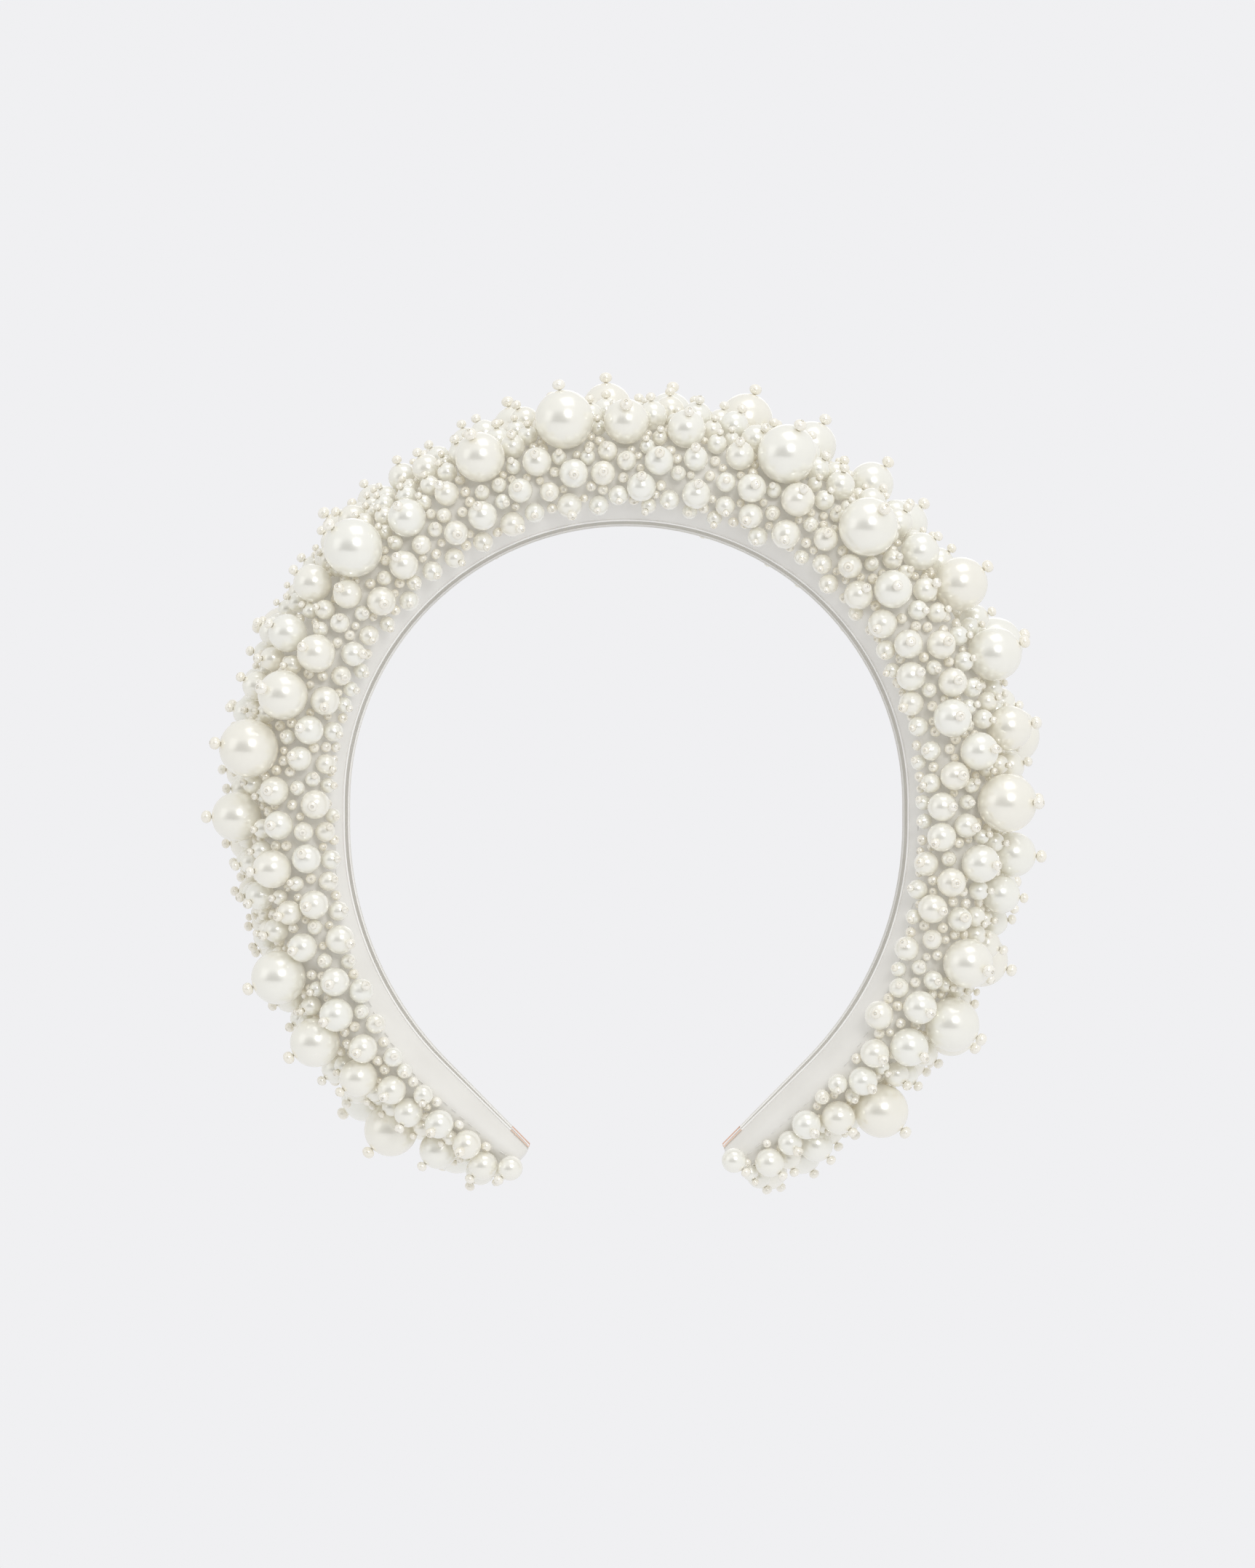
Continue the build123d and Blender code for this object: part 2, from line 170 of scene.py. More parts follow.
def newGroup(name, inputs, outputs):
    group = bpy.data.node_groups.new(name, "ShaderNodeTree")
    for label, kind, value in inputs:
        socket = group.interface.new_socket(name=label, in_out="INPUT", socket_type=kind)
        socket.default_value = value
    for label, kind in outputs:
        group.interface.new_socket(name=label, in_out="OUTPUT", socket_type=kind)
    return group, group.nodes.new("NodeGroupInput"), group.nodes.new("NodeGroupOutput")


def mathNode(tree, operation, first, second=None):
    node = tree.nodes.new("ShaderNodeMath")
    node.operation = operation
    for index, value in enumerate((first, second)):
        if value is None:
            continue
        if isinstance(value, (int, float)):
            node.inputs[index].default_value = value
        else:
            tree.links.new(value, node.inputs[index])
    return node.outputs[0]


weave = {
    "twillSlope": 0.6,
    "crossShare": 0.4,
    "threadShare": 0.06,  # the threads' height beside that of the gathers
    "gatherStretch": 0.28,
    "cloudScale": 90.0,
    "slubAlong": 260.0,
    "slubAround": 2600.0,
}


def buildWeaveGroup():
    # cloth on a UV map measured in metres: u runs along the band, v round it
    group, given, made = newGroup(
        "bandWeave",
        [("ThreadPitch", "NodeSocketFloat", 0.0003), ("Pucker", "NodeSocketFloat", 1.0),
         ("PuckerPitch", "NodeSocketFloat", 0.004)],
        [("Height", "NodeSocketFloat"), ("Tone", "NodeSocketFloat"), ("Streak", "NodeSocketFloat")],
    )
    place = group.nodes.new("ShaderNodeTexCoord")
    split = group.nodes.new("ShaderNodeSeparateXYZ")
    link(group, place, "UV", split, 0)
    along, around = split.outputs[0], split.outputs[1]
    turns = mathNode(group, "DIVIDE", 2 * math.pi, given.outputs["ThreadPitch"])
    diagonal = mathNode(group, "ADD", along, mathNode(group, "MULTIPLY", around, weave["twillSlope"]))
    twill = mathNode(group, "SINE", mathNode(group, "MULTIPLY", diagonal, turns))
    cross = mathNode(group, "SINE", mathNode(group, "MULTIPLY", around, mathNode(group, "MULTIPLY", turns, 0.5)))
    crossed = mathNode(group, "ADD", twill, mathNode(group, "MULTIPLY", cross, weave["crossShare"]))
    threads = mathNode(group, "MULTIPLY", crossed, weave["threadShare"])
    # gathers run round the band, so they are short along it and long across
    perMetre = mathNode(group, "DIVIDE", 1.0, given.outputs["PuckerPitch"])
    join = group.nodes.new("ShaderNodeCombineXYZ")
    group.links.new(mathNode(group, "MULTIPLY", along, perMetre), join.inputs[0])
    acrossMetre = mathNode(group, "MULTIPLY", perMetre, weave["gatherStretch"])
    group.links.new(mathNode(group, "MULTIPLY", around, acrossMetre), join.inputs[1])
    gathers = group.nodes.new("ShaderNodeTexNoise")
    gathers.inputs["Scale"].default_value = 1.0
    gathers.inputs["Detail"].default_value = 3.0
    group.links.new(join.outputs[0], gathers.inputs["Vector"])
    folds = mathNode(group, "MULTIPLY", gathers.outputs[0], given.outputs["Pucker"])
    group.links.new(mathNode(group, "ADD", threads, folds), made.inputs["Height"])
    soft = group.nodes.new("ShaderNodeTexNoise")
    soft.inputs["Scale"].default_value = weave["cloudScale"]
    soft.inputs["Detail"].default_value = 4.0
    link(group, place, "Object", soft, "Vector")
    group.links.new(soft.outputs[0], made.inputs["Tone"])
    # single slightly thicker threads, as satin has
    slub = group.nodes.new("ShaderNodeTexNoise")
    slub.inputs["Scale"].default_value = 1.0
    slub.inputs["Detail"].default_value = 2.0
    wide = group.nodes.new("ShaderNodeCombineXYZ")
    group.links.new(mathNode(group, "MULTIPLY", along, weave["slubAlong"]), wide.inputs[0])
    group.links.new(mathNode(group, "MULTIPLY", around, weave["slubAround"]), wide.inputs[1])
    group.links.new(wide.outputs[0], slub.inputs["Vector"])
    group.links.new(slub.outputs[0], made.inputs["Streak"])
    return group


def clothMaterial(name, look):
    material, tree, shader = newMaterial(name, look["colour"], look["roughness"])
    threads = tree.nodes.new("ShaderNodeGroup")
    threads.node_tree = weaveGroup
    threads.inputs["ThreadPitch"].default_value = look["threadPitch"]
    threads.inputs["Pucker"].default_value = look["pucker"]
    threads.inputs["PuckerPitch"].default_value = look["puckerPitch"]
    bump = tree.nodes.new("ShaderNodeBump")
    bump.inputs["Strength"].default_value = look["bump"]
    bump.inputs["Distance"].default_value = look["depth"]
    link(tree, threads, "Height", bump, "Height")
    link(tree, bump, "Normal", shader, "Normal")
    tint = tree.nodes.new("ShaderNodeMix")
    tint.data_type = "RGBA"
    tint.inputs[6].default_value = (*look["shade"], 1)
    tint.inputs[7].default_value = (*look["colour"], 1)
    link(tree, threads, "Tone", tint, 0)
    link(tree, tint, 2, shader, "Base Color")
    gloss = tree.nodes.new("ShaderNodeMapRange")
    gloss.inputs["To Min"].default_value = look["roughness"] - 0.10
    gloss.inputs["To Max"].default_value = look["roughness"] + 0.10
    link(tree, threads, "Streak", gloss, "Value")
    link(tree, gloss, 0, shader, "Roughness")
    shader.inputs["Sheen Weight"].default_value = look["sheen"]
    shader.inputs["Sheen Roughness"].default_value = 0.35
    shader.inputs["Specular IOR Level"].default_value = look["specular"]
    # painted light: the cloth glows in its own colour, a painted fill that lifts the shade in its folds and where
    # the beads shade it
    shader.inputs["Emission Color"].default_value = (*look["colour"], 1)
    shader.inputs["Emission Strength"].default_value = look["glowStrength"]
    return material


lustre = {
    "cloudScale": 420.0,
    "veilDarkest": 0.955,
    "smoother": 0.05,
    "rougher": 0.07,
    "bump": 0.05,
    "depth": 0.00005,
    "specular": 0.6,
}


def pearlMaterial(name, look):
    material, tree, shader = newMaterial(name, look["colour"], look["roughness"])
    tone = tree.nodes.new("ShaderNodeAttribute")
    tone.attribute_name = "beadTone"
    tint = tree.nodes.new("ShaderNodeMix")
    tint.data_type = "RGBA"
    tint.inputs[6].default_value = (*look["colour"], 1)
    tint.inputs[7].default_value = (*look["warm"], 1)
    link(tree, tone, "Fac", tint, 0)
    place = tree.nodes.new("ShaderNodeTexCoord")
    cloud = tree.nodes.new("ShaderNodeTexNoise")
    cloud.inputs["Scale"].default_value = lustre["cloudScale"]
    cloud.inputs["Detail"].default_value = 3.0
    link(tree, place, "Object", cloud, "Vector")
    veil = tree.nodes.new("ShaderNodeMix")
    veil.data_type = "RGBA"
    veil.blend_type = "MULTIPLY"
    veil.inputs[0].default_value = 1.0
    veilRange = tree.nodes.new("ShaderNodeMapRange")
    veilRange.inputs["To Min"].default_value = lustre["veilDarkest"]
    veilRange.inputs["To Max"].default_value = 1.0
    link(tree, cloud, 0, veilRange, "Value")
    link(tree, tint, 2, veil, 6)
    link(tree, veilRange, 0, veil, 7)
    link(tree, veil, 2, shader, "Base Color")
    gloss = tree.nodes.new("ShaderNodeMapRange")
    gloss.inputs["To Min"].default_value = look["roughness"] - lustre["smoother"]
    gloss.inputs["To Max"].default_value = look["roughness"] + lustre["rougher"]
    link(tree, cloud, 0, gloss, "Value")
    link(tree, gloss, 0, shader, "Roughness")
    bump = tree.nodes.new("ShaderNodeBump")
    bump.inputs["Strength"].default_value = lustre["bump"]
    bump.inputs["Distance"].default_value = lustre["depth"]
    link(tree, cloud, 0, bump, "Height")
    link(tree, bump, "Normal", shader, "Normal")
    shader.inputs["Metallic"].default_value = look["metallic"]
    shader.inputs["Coat Weight"].default_value = look["coat"]
    shader.inputs["Coat Roughness"].default_value = look["coatRoughness"]
    # painted light: a warm glow lifts the shade in the gaps between the beads and yellows it, in place of light
    # bounced between them
    shader.inputs["Emission Color"].default_value = (*look["glow"], 1)
    shader.inputs["Emission Strength"].default_value = look["glowStrength"]
    shader.inputs["Specular IOR Level"].default_value = lustre["specular"]
    return material


weaveGroup = buildWeaveGroup()
# the glow values below are painted fill light: an emission that lifts the shade of the cloth and the beads, warm
# yellow on the beads
satinLook = {"colour": (0.81, 0.80, 0.77), "shade": (0.70, 0.685, 0.65), "roughness": 0.40, "threadPitch": 0.00042,
             "pucker": 1.7, "puckerPitch": 0.0036, "bump": 0.75, "depth": 0.0009, "sheen": 0.2, "specular": 0.5,
             "glowStrength": 0.11}
liningLook = {"colour": (0.86, 0.855, 0.84), "shade": (0.78, 0.77, 0.75), "roughness": 0.50, "threadPitch": 0.0006,
              "pucker": 0.35, "puckerPitch": 0.006, "bump": 0.5, "depth": 0.0005, "sheen": 0.2, "specular": 0.45,
              "glowStrength": 0.16}
tapeLook = {"colour": (0.83, 0.64, 0.54), "shade": (0.77, 0.56, 0.46), "roughness": 0.62, "threadPitch": 0.0005,
            "pucker": 0.3, "puckerPitch": 0.002, "bump": 0.5, "depth": 0.0004, "sheen": 0.2, "specular": 0.35,
            "glowStrength": 0.10}
pearlLook = {"colour": (0.92, 0.93, 0.895), "warm": (0.92, 0.91, 0.85), "roughness": 0.23, "metallic": 0.38,
             "coat": 0.5, "coatRoughness": 0.09, "glow": (1.0, 0.83, 0.53), "glowStrength": 0.062}
seedLook = {"colour": (0.93, 0.92, 0.875), "warm": (0.92, 0.895, 0.82), "roughness": 0.26, "metallic": 0.25,
            "coat": 0.5, "coatRoughness": 0.11, "glow": (1.0, 0.82, 0.50), "glowStrength": 0.068}
satin = clothMaterial("ivorySatin", satinLook)
liningCloth = clothMaterial("liningRibbon", liningLook)
tapeCloth = clothMaterial("nudeTape", tapeLook)
pearlFinish = pearlMaterial("imitationPearl", pearlLook)
seedFinish = pearlMaterial("seedBead", seedLook)


def threadMaterial():
    material, tree, shader = newMaterial("whiteThread", (0.84, 0.83, 0.80), 0.55)
    place = tree.nodes.new("ShaderNodeTexCoord")
    twist = tree.nodes.new("ShaderNodeTexWave")
    twist.inputs["Scale"].default_value = 2200.0
    link(tree, place, "Object", twist, "Vector")
    bump = tree.nodes.new("ShaderNodeBump")
    bump.inputs["Strength"].default_value = 0.4
    bump.inputs["Distance"].default_value = 0.00005
    link(tree, twist, 1, bump, "Height")
    link(tree, bump, "Normal", shader, "Normal")
    shader.inputs["Sheen Weight"].default_value = 0.2
    return material


threadFinish = threadMaterial()
print("finishes ready")

# ---- the line of the band, which the padding, the lining and the tapes follow

band = {
    "headRadius": 62.5 * mm,
    "templeDrop": 5.0 * mm,
    "armRadius": 75.0 * mm,
    "armTurn": math.radians(45),
    "tipRun": 26.7 * mm,
    "flexAngle": math.radians(60),
    "flexLift": 15.0 * mm,
    "height": 22.5 * mm,
    "halfDepth": 18.0 * mm,
    "armThinning": 8.0 * mm,
    "armNarrowing": 4.0 * mm,
    "tipThinning": 7.0 * mm,
    "tipNarrowing": 6.5 * mm,
    "tipStretch": 44.0 * mm,
    "belly": 0.45,
}
quarter = band["headRadius"] * math.pi / 2
curveEnd = quarter + band["templeDrop"] + band["armRadius"] * band["armTurn"]
halfLength = curveEnd + band["tipRun"]
flexStation = band["headRadius"] * band["flexAngle"]
baseShare = math.sqrt(1 - (band["belly"] / (1 - band["belly"])) ** 2)


def bandLine(station, lift=0.0):
    # place at a distance along the band, and how far the section there leans from upright
    side = -1 if station < 0 else 1
    run = abs(station)
    if run <= quarter:
        lean = run / band["headRadius"]
        x, z = band["headRadius"] * math.sin(lean), band["headRadius"] * math.cos(lean)
    elif run <= quarter + band["templeDrop"]:
        lean = math.pi / 2
        x, z = band["headRadius"], quarter - run
    else:
        turned = min((run - quarter - band["templeDrop"]) / band["armRadius"], band["armTurn"])
        past = max(0.0, run - curveEnd)
        lean = math.pi / 2 + turned
        x = band["headRadius"] - band["armRadius"] * (1 - math.cos(turned)) - past * math.sin(turned)
        z = -band["templeDrop"] - band["armRadius"] * math.sin(turned) - past * math.cos(turned)
    place = Vector((side * (x + lift * math.sin(lean)), 0, z + lift * math.cos(lean)))
    return place, side * lean


def padding(station):
    run = min(abs(station), halfLength)
    arm = max(0.0, run - flexStation) / (halfLength - flexStation)
    tip = max(0.0, run - halfLength + band["tipStretch"]) / band["tipStretch"]
    height = band["height"] - band["armThinning"] * arm - band["tipThinning"] * tip**1.1
    return height, band["halfDepth"] - band["armNarrowing"] * arm - band["tipNarrowing"] * tip**1.1


def liftOf(point):
    # a point's height above the head line, found from its place
    x, z = abs(point[0]), point[2]
    if z >= 0:
        return math.hypot(x, z) - band["headRadius"]
    if z >= -band["templeDrop"]:
        return x - band["headRadius"]
    centreX, centreZ = band["headRadius"] - band["armRadius"], -band["templeDrop"]
    angle = math.atan2(centreZ - z, x - centreX)
    if angle <= band["armTurn"]:
        return math.hypot(x - centreX, z - centreZ) - band["armRadius"]
    outX, outZ = math.cos(band["armTurn"]), -math.sin(band["armTurn"])
    return (x - centreX) * outX + (z - centreZ) * outZ - band["armRadius"]


def rotateAbout(angle, centre):
    # with no window open the operator turns the other way
    bpy.ops.transform.rotate(value=-angle, orient_axis="Y", center_override=centre)


def sweepBand(name, stations, sizeAt, lift, start, capSteps):
    # a ring in the band's section is pulled along its line, turned and resized at each step
    bpy.ops.object.select_all(action="DESELECT")
    bpy.ops.mesh.primitive_circle_add(vertices=start["around"], radius=1.0, rotation=(0, math.pi / 2, 0))
    piece = bpy.context.object
    piece.name = name
    bpy.ops.object.transform_apply(location=True, rotation=True, scale=True)
    rise, reach = sizeAt(stations[0])
    middle = start["middle"]
    bpy.ops.object.mode_set(mode="EDIT")
    bpy.ops.mesh.select_all(action="SELECT")
    bpy.ops.transform.resize(value=(1, reach, rise * start["halfHeight"]), center_override=(0, 0, 0))
    bpy.ops.transform.translate(value=(0, 0, rise * middle))
    for level, keep in start["flats"]:  # cut off flat, so that the corners stay where they belong
        bpy.ops.mesh.select_all(action="SELECT")
        bpy.ops.mesh.bisect(plane_co=(0, 0, rise * level), plane_no=(0, 0, keep), clear_inner=True)
        selectPoints(piece, lambda co: abs(co.z - rise * level) < 0.001 * mm)
        bpy.ops.mesh.edge_face_add()
        bpy.ops.mesh.subdivide(number_cuts=start["flatCuts"])
    bpy.ops.object.mode_set(mode="OBJECT")
    around = len(piece.data.vertices)
    bpy.ops.object.mode_set(mode="EDIT")
    bpy.ops.mesh.select_all(action="SELECT")
    place, lean = bandLine(stations[0], lift)
    bpy.ops.transform.translate(value=place)
    rotateAbout(lean, place)
    for station in stations[1:]:
        nextPlace, nextLean = bandLine(station, lift)
        nextRise, nextReach = sizeAt(station)
        bpy.ops.mesh.extrude_region_move(TRANSFORM_OT_translate={"value": nextPlace - place})
        rotateAbout(-lean, nextPlace)
        bpy.ops.transform.resize(value=(1, nextReach / reach, nextRise / rise), center_override=nextPlace)
        rotateAbout(nextLean, nextPlace)
        place, lean, rise, reach = nextPlace, nextLean, nextRise, nextReach
    last = around * (len(stations) - 1)
    for station, ring in ((stations[-1], range(last, last + around)), (stations[0], range(around))):
        lean = bandLine(station)[1]
        centre = bandLine(station, lift + sizeAt(station)[0] * middle)[0]
        inner = stations[-2] if station == stations[-1] else stations[1]
        outward = (bandLine(station)[0] - bandLine(inner)[0]).normalized()
        selectIndices(piece, set(ring))
        for inward, forward in capSteps:
            bpy.ops.mesh.extrude_region_move(TRANSFORM_OT_translate={"value": outward * forward})
            centre = centre + outward * forward
            rotateAbout(-lean, centre)
            bpy.ops.transform.resize(value=(1, inward, inward), center_override=centre)
            rotateAbout(lean, centre)
        bpy.ops.mesh.edge_face_add()
        bpy.ops.mesh.poke()
    bpy.ops.mesh.select_all(action="SELECT")
    bpy.ops.mesh.normals_make_consistent(inside=False)
    bpy.ops.object.mode_set(mode="OBJECT")
    layUv(piece, stations, around, sizeAt, lift, middle)
    return piece


def selectIndices(piece, wanted):
    bpy.ops.mesh.select_all(action="DESELECT")
    bpy.ops.object.mode_set(mode="OBJECT")
    for vertex in piece.data.vertices:
        vertex.select = vertex.index in wanted
    flags = np.zeros(len(piece.data.edges), bool)
    for edge in piece.data.edges:
        flags[edge.index] = edge.vertices[0] in wanted and edge.vertices[1] in wanted
    piece.data.edges.foreach_set("select", flags)
    bpy.ops.object.mode_set(mode="EDIT")


def selectPoints(piece, test):
    bpy.ops.object.mode_set(mode="OBJECT")
    wanted = {v.index for v in piece.data.vertices if test(v.co)}
    bpy.ops.object.mode_set(mode="EDIT")
    selectIndices(piece, wanted)


def layUv(piece, stations, around, sizeAt, lift, middle):
    # u and v in metres along and round the band
    mesh = piece.data
    layer = mesh.uv_layers.new(name="bandUv")
    ringed = around * len(stations)
    girth = 2 * (band["height"] + band["halfDepth"])
    place = []
    for vertex in mesh.vertices:
        end = stations[-1] if vertex.co.x > 0 else stations[0]
        station = stations[vertex.index // around] if vertex.index < ringed else end
        above = liftOf(vertex.co) - lift - sizeAt(station)[0] * middle
        place.append((station, math.atan2(vertex.co.y, above) / (2 * math.pi)))
    for face in mesh.polygons:
        turns = [place[mesh.loops[i].vertex_index][1] for i in face.loop_indices]
        wraps = max(turns) - min(turns) > 0.5
        for loopIndex, turn in zip(face.loop_indices, turns):
            turn += 1 if wraps and turn < 0 else 0
            layer.data[loopIndex].uv = (place[mesh.loops[loopIndex].vertex_index][0], turn * girth)


# ---- the padded cover

cover = {
    "steps": 144,
    "start": {"around": 52, "middle": band["belly"], "halfHeight": 1 - band["belly"], "flats": ((0.0, 1),),
              "flatCuts": 9},
    "lift": 0.57 * mm,
    "crease": 1.0,
    "capSteps": ((0.93, 0.4 * mm), (0.72, 0.4 * mm), (0.4, 0.1 * mm)),  # share of the size, step outwards
    "startSmaller": 0.985,
    "pressure": 4.0,
    "frames": 20,
    "mostSwell": 0.75 * mm,
    "stitchReach": 1.5 * mm,
    "bendReach": 8.0 * mm,
}
cloth = {"quality": 5, "mass": 0.15, "stretch": 12, "bend": 0.4}


def coverSize(station):
    height, depth = padding(station)
    return (height - cover["lift"]) * cover["startSmaller"], depth * cover["startSmaller"]


def choose(*pieces):
    bpy.ops.object.select_all(action="DESELECT")
    for piece in pieces:
        piece.select_set(True)
    bpy.context.view_layer.objects.active = pieces[0]


def creaseCorners(piece, lift, amount):
    # the folded edge beside the lining stays crisp
    mesh = piece.data
    normals = {}
    for face in mesh.polygons:
        for key in face.edge_keys:
            normals.setdefault(key, []).append(face.normal.copy())
    crease = mesh.attributes.new("crease_edge", "FLOAT", "EDGE")
    sharp = []
    for edge in mesh.edges:
        pair = normals.get(tuple(sorted(edge.vertices)), [])
        bent = len(pair) == 2 and pair[0].dot(pair[1]) < 0.75
        low = max(liftOf(mesh.vertices[v].co) for v in edge.vertices) < lift + 0.2 * mm
        sharp.append(amount if bent and low else 0.0)
    crease.data.foreach_set("value", sharp)


def evenStations(end, steps):
    return [-end + 2 * end * k / steps for k in range(steps + 1)]


def applyModifiers(piece):
    choose(piece)
    for modifier in list(piece.modifiers):
        bpy.ops.object.modifier_apply(modifier=modifier.name)


def swell(piece, anchors):
    # the foam pushes the satin out between the threads that hold it down
    mesh = piece.data
    start = np.array([v.co for v in mesh.vertices])
    nearest = np.full(len(start), 1.0)
    for anchor in anchors:
        nearest = np.minimum(nearest, np.linalg.norm(start - anchor, axis=1))
    held = piece.vertex_groups.new(name="heldDown")
    for index, gap in enumerate(nearest):
        if gap < cover["stitchReach"] or liftOf(start[index]) < cover["lift"] + 0.3 * mm:
            held.add([index], 1.0, "REPLACE")
    foam = piece.modifiers.new("foamPressure", "CLOTH")
    foam.settings.quality = cloth["quality"]
    foam.settings.mass = cloth["mass"]
    foam.settings.tension_stiffness = cloth["stretch"]
    foam.settings.compression_stiffness = cloth["stretch"]
    foam.settings.bending_stiffness = cloth["bend"]
    foam.settings.use_pressure = True
    foam.settings.uniform_pressure_force = cover["pressure"]
    foam.settings.vertex_group_mass = "heldDown"
    foam.settings.effector_weights.gravity = 0
    foam.collision_settings.use_collision = False
    for step in range(1, cover["frames"] + 1):
        scene.frame_set(step)
    depsgraph = bpy.context.evaluated_depsgraph_get()
    moved = np.array([v.co for v in piece.evaluated_get(depsgraph).data.vertices])
    piece.modifiers.remove(foam)
    shift = moved - start
    far = np.linalg.norm(shift, axis=1)
    shift *= np.minimum(1.0, cover["mostSwell"] / np.maximum(far, 1e-9))[:, None]
    mesh.vertices.foreach_set("co", (start + shift).ravel())
    mesh.update()
    scene.frame_set(1)
    print("satin swelled by up to", round(float(far.max()) * 1000, 2), "mm, kept to", cover["mostSwell"] * 1000)


def halves(piece, names):
    # cut at the top of the crown into a left and a right half
    made = []
    for name, side in zip(names, (-1, 1)):
        part = piece.copy()
        part.data = piece.data.copy()
        part.name = name
        part.data.name = name
        scene.collection.objects.link(part)
        choose(part)
        bpy.ops.object.mode_set(mode="EDIT")
        bpy.ops.mesh.select_all(action="SELECT")
        bpy.ops.mesh.bisect(plane_co=(0, 0, 0), plane_no=(1, 0, 0), use_fill=True,
                            clear_inner=side > 0, clear_outer=side < 0)
        bpy.ops.object.mode_set(mode="OBJECT")
        bpy.ops.object.shade_smooth_by_angle(angle=math.radians(40))
        made.append(part)
    bpy.data.objects.remove(piece)
    return made


def bendAtShoulder(piece):
    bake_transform(piece)


# ---- where the beads are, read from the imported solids


def solidsOf(node):
    # the corner points of each separate solid of a CAD node
    mesh = nodes[node].data
    points = np.empty(len(mesh.vertices) * 3, np.float32)
    mesh.vertices.foreach_get("co", points)
    corners = np.empty(len(mesh.loops), np.int32)
    mesh.loops.foreach_get("vertex_index", corners)
    points, weld = np.unique(points.reshape(-1, 3), axis=0, return_inverse=True)
    triangles = weld.ravel()[corners].reshape(-1, 3)
    label = np.arange(len(points))
    while True:
        lowest = label.copy()
        np.minimum.at(lowest, triangles.ravel(), np.repeat(label[triangles].min(axis=1), 3))
        lowest = lowest[lowest]
        if (lowest == label).all():
            break
        label = lowest
    return [points[label == k].astype(float) for k in np.unique(label)]


def ballCentre(points):
    table = np.hstack([2 * points, np.ones((len(points), 1))])
    fit = np.linalg.lstsq(table, (points**2).sum(axis=1), rcond=None)[0]
    return fit[:3], math.sqrt(fit[3] + fit[:3] @ fit[:3])


def barrelOf(points):
    # centre, axis, half length and radius of a holed ball cut flat at its ends, from its corner points
    rest = points - points.mean(axis=0)
    reach = np.linalg.norm(rest, axis=1)
    rim = points[reach < 0.93 * reach.max()]  # the bore's edges, which lie nearest to the middle
    centre = rim.mean(axis=0)
    axis = np.linalg.svd(rim - centre)[2][0]
    return centre, axis, float(np.abs((points - centre) @ axis).max()), float(reach.max())


bodyNames = {"crown": "crown", "left": "left_arm", "right": "right_arm"}
stops, pearls, stitches, seeds = {}, {}, {}, {}
for node in nodes:
    if node.startswith("stop_beads"):
        stops[node] = [barrelOf(points) for points in solidsOf(node)]
    elif node.startswith("pearls"):
        pearls[node] = [ballCentre(points) for points in solidsOf(node)]
    elif node.startswith("seed_beads"):
        seeds[node] = [barrelOf(points) for points in solidsOf(node)]
    elif node.startswith("edge_stitches"):
        stitches[node] = solidsOf(node)
print("beads read:", sum(map(len, pearls.values())), "pearls,", sum(map(len, stops.values())), "stop beads")

pearlShapes = [
    # radius above which a shape is used, segments, rings
    (4.9 * mm, 32, 20),
    (3.6 * mm, 24, 15),
    (2.6 * mm, 20, 12),
    (2.0 * mm, 14, 9),
    (0.0, 12, 8),
]
stopGap = 0.08 * mm
stopShapes = {
    "large": {"fromPearl": 4.9 * mm, "radius": 1.45 * mm, "half": 1.15 * mm, "bore": 0.42 * mm, "segments": 14,
              "rings": 8},
    "small": {"fromPearl": 2.5 * mm, "radius": 1.15 * mm, "half": 0.91 * mm, "bore": 0.42 * mm, "segments": 12,
              "rings": 7},
    "tiny": {"fromPearl": 0.0, "radius": 0.85 * mm, "half": 0.67 * mm, "bore": 0.30 * mm, "segments": 10,
             "rings": 6},
}
seedShape = {"segments": 12, "rings": 7, "bore": 0.32 * mm}
pearlBore = 0.55 * mm


def modelBead(name, radius, half, segments, rings, bore, material):
    # a ball with its poles opened and drawn in to the bore
    bpy.ops.object.select_all(action="DESELECT")
    bpy.ops.mesh.primitive_uv_sphere_add(segments=segments, ring_count=rings, radius=radius, location=(0, 0, 0))
    bead = bpy.context.object
    bead.name = name
    top = math.cos(math.pi / rings) * radius
    bpy.ops.object.mode_set(mode="EDIT")
    selectPoints(bead, lambda co: abs(co.z) > (radius + top) / 2)
    bpy.ops.mesh.delete(type="VERT")
    bpy.ops.mesh.select_all(action="SELECT")
    rim = math.sin(math.pi / rings) * radius
    bpy.ops.transform.resize(value=(1, 1, half / top), center_override=(0, 0, 0))
    for end in (1, -1):
        selectPoints(bead, lambda co: end * co.z > half * 0.999)
        bpy.ops.transform.resize(value=(bore / rim, bore / rim, 1), center_override=(0, 0, 0))
        bpy.ops.mesh.extrude_region_move(TRANSFORM_OT_translate={"value": (0, 0, -end * half * 0.3)})
        bpy.ops.mesh.edge_face_add()
    bpy.ops.mesh.select_all(action="SELECT")
    bpy.ops.mesh.normals_make_consistent(inside=False)
    bpy.ops.object.mode_set(mode="OBJECT")
    bpy.ops.object.shade_smooth_by_angle(angle=math.radians(60))
    bead.data.materials.append(material)
    return bead


def sewCopies(name, pattern, places, rng):
    copies = []
    for centre, axis in places:
        copy = pattern.copy()
        copy.data = pattern.data.copy()
        turn = Vector((0, 0, 1)).rotation_difference(Vector(axis)).to_matrix().to_4x4()
        spin = Matrix.Rotation(rng.uniform(0, 2 * math.pi), 4, "Z")
        copy.data.transform(Matrix.Translation(Vector(centre)) @ turn @ spin)
        tone = copy.data.attributes.new("beadTone", "FLOAT", "POINT")
        tone.data.foreach_set("value", [rng.random()] * len(copy.data.vertices))
        scene.collection.objects.link(copy)
        copies.append(copy)
    choose(*copies)
    if len(copies) > 1:
        bpy.ops.object.join()
    joined = bpy.context.view_layer.objects.active
    joined.name = name
    joined.data.name = name
    return joined


def camel(node):
    first, *rest = node.replace("_5mm", "half_mm").split("_")
    return first + "".join(word.capitalize() for word in rest)


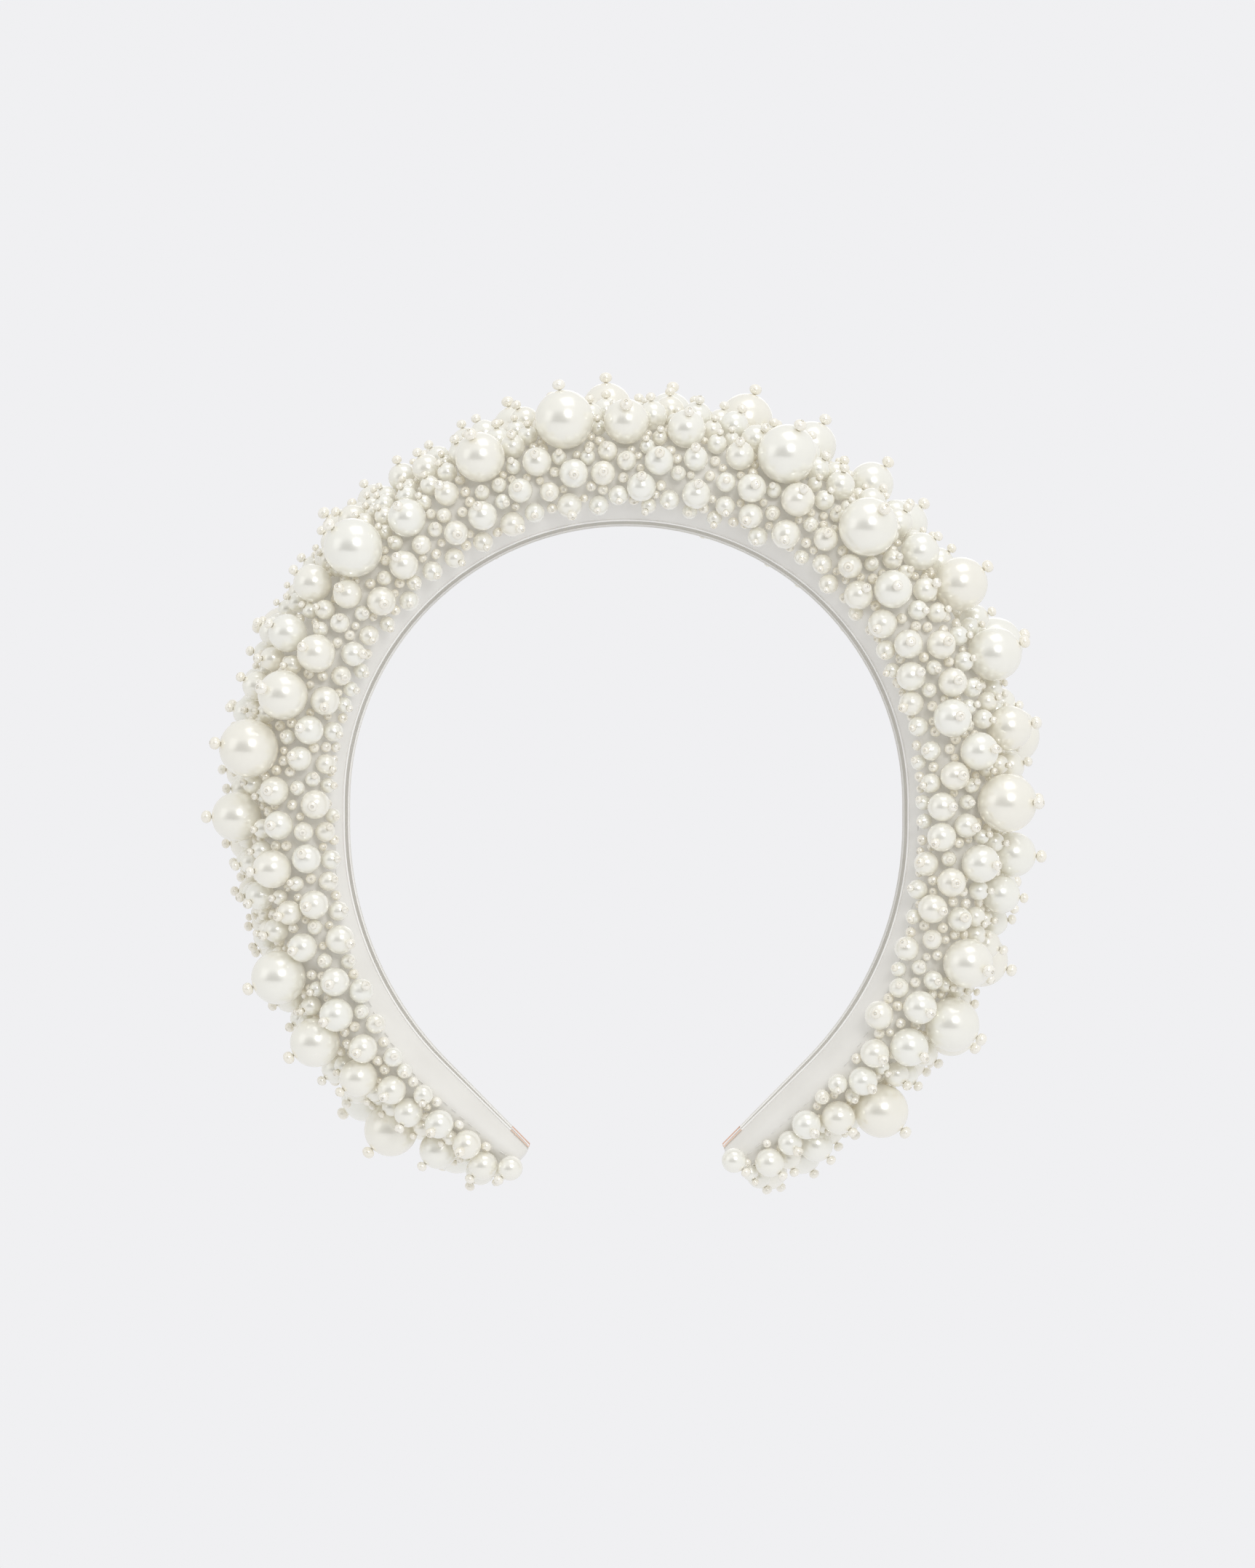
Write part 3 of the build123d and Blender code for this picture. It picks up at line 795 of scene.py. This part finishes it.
def sewNode(node, pattern, places, rng):
    # all the beads of one CAD node, as one piece in its place
    piece = sewCopies(camel(node), pattern, places, rng)
    bpy.data.objects.remove(pattern)
    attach(piece, bodyNames[node.split("_")[-1]])
    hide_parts(node)


def buildBeads():
    rng = random.Random(5)
    anchors = []
    stopCentres = np.array([stop[0] for group in stops.values() for stop in group])
    for node in sorted(pearls):
        radius = pearls[node][0][1]
        segments, rings = next((s, r) for least, s, r in pearlShapes if radius > least)
        kind = next(kind for kind, shape in stopShapes.items() if radius > shape["fromPearl"])
        away = radius + stopGap + stopShapes[kind]["half"]
        cap = math.sqrt(radius**2 - pearlBore**2)
        pattern = modelBead("pattern", radius, cap, segments, rings, pearlBore, pearlFinish)
        places = []
        for centre, _ in pearls[node]:
            misfit = np.abs(np.linalg.norm(stopCentres - centre, axis=1) - away)
            axis = stopCentres[misfit.argmin()] - centre
            axis /= np.linalg.norm(axis)
            places.append((centre, axis))
            anchors.append(centre - axis * radius)
        sewNode(node, pattern, places, rng)
    for node, group in stops.items():
        shape = stopShapes[node.split("_")[2]]
        pattern = modelBead("pattern", shape["radius"], shape["half"], shape["segments"], shape["rings"],
                            shape["bore"], seedFinish)
        sewNode(node, pattern, [(centre, axis) for centre, axis, _, _ in group], rng)
    for node, group in seeds.items():
        _, _, half, radius = group[0]  # all of one node are alike
        pattern = modelBead("pattern", radius, half, seedShape["segments"], seedShape["rings"], seedShape["bore"],
                            seedFinish)
        anchors += [centre for centre, _, _, _ in group]
        sewNode(node, pattern, [(centre, axis) for centre, axis, _, _ in group], rng)
    print("beads sewn on")
    return anchors


anchors = buildBeads()

padBody = sweepBand("paddedBody", evenStations(halfLength, cover["steps"]), coverSize, cover["lift"], cover["start"],
                    cover["capSteps"])
creaseCorners(padBody, cover["lift"], cover["crease"])
swell(padBody, anchors)
finer = padBody.modifiers.new("finer", "SUBSURF")
finer.levels = finer.render_levels = 1
applyModifiers(padBody)
padBody.data.materials.append(satin)
coverLeft, coverRight = halves(padBody, ("coverLeft", "coverRight"))
for piece, side in ((coverLeft, -1), (coverRight, 1)):
    bendAtShoulder(piece)
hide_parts("satin_cover", "foam_pad_left", "foam_pad_crown")
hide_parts("satin_cover", "foam_pad_right", "spring_core")
print("cover ready")

# ---- lining and end tapes

ribbonStart = {"around": 24, "middle": 0.5, "halfHeight": 1.6, "flats": ((0.0, 1), (1.0, -1)), "flatCuts": 7}
lining = {"thickness": 0.6 * mm, "narrower": 0.12 * mm, "steps": 120, "endGap": 0.1 * mm}
tape = {"length": 5.5 * mm, "thickness": 0.4 * mm, "steps": 6}


def liningSize(station):
    return lining["thickness"], padding(station)[1] * baseShare - lining["narrower"]


liningEnd = halfLength - tape["length"] - lining["endGap"]
ribbon = sweepBand("ribbon", evenStations(liningEnd, lining["steps"]), liningSize, 0.0, ribbonStart,
                   ((0.98, 0.05 * mm),))
ribbon.data.materials.append(liningCloth)
liningLeft, liningRight = halves(ribbon, ("liningLeft", "liningRight"))
for piece, side in ((liningLeft, -1), (liningRight, 1)):
    bendAtShoulder(piece)
    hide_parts("inner_lining")


def tapeSize(station):
    return tape["thickness"], padding(station)[1] * baseShare - lining["narrower"]


for side, name in ((-1, "left"), (1, "right")):
    start = halfLength - tape["length"]
    ends = [side * (start + tape["length"] * k / tape["steps"]) for k in range(tape["steps"] + 1)]
    piece = sweepBand("endTape" + name.capitalize(), sorted(ends), tapeSize, 0.0, ribbonStart, ((0.98, 0.03 * mm),))
    piece.data.materials.append(tapeCloth)
    bpy.ops.object.shade_smooth_by_angle(angle=math.radians(50))
    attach(piece, bodyNames[name])
    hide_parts("end_tape_" + name)
print("lining and tapes ready")

# ---- hand stitches along the beadwork, and the sewing threads

stitchShape = {"radius": 0.13 * mm, "segments": 8, "rings": 6}


def buildStitches():
    rng = random.Random(8)
    bpy.ops.object.select_all(action="DESELECT")
    bpy.ops.mesh.primitive_uv_sphere_add(segments=stitchShape["segments"], ring_count=stitchShape["rings"],
                                         radius=stitchShape["radius"])
    pattern = bpy.context.object
    firstGroup = next(iter(stitches.values()))
    length = max(np.linalg.norm(points - points.mean(axis=0), axis=1).max() for points in firstGroup)
    bpy.ops.object.mode_set(mode="EDIT")
    for end in (1, -1):  # the ball's halves are pulled apart into a stitch
        selectPoints(pattern, lambda co: end * co.z > 0.01 * mm)
        bpy.ops.transform.translate(value=(0, 0, end * (length - stitchShape["radius"])))
    bpy.ops.object.mode_set(mode="OBJECT")
    bpy.ops.object.shade_smooth()
    pattern.data.materials.append(threadFinish)
    for node, group in stitches.items():
        places = []
        for points in group:
            centre = points.mean(axis=0)
            axis = np.linalg.svd(points - centre)[2][0]
            places.append((centre, axis))
        piece = sewCopies(camel(node), pattern, places, rng)
        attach(piece, bodyNames[node.split("_")[-1]])
        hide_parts(node)
    bpy.data.objects.remove(pattern)


buildStitches()
for node, obj in nodes.items():
    if node.startswith("threads"):
        obj.data.materials.clear()
        obj.data.materials.append(threadFinish)
print("threads ready")
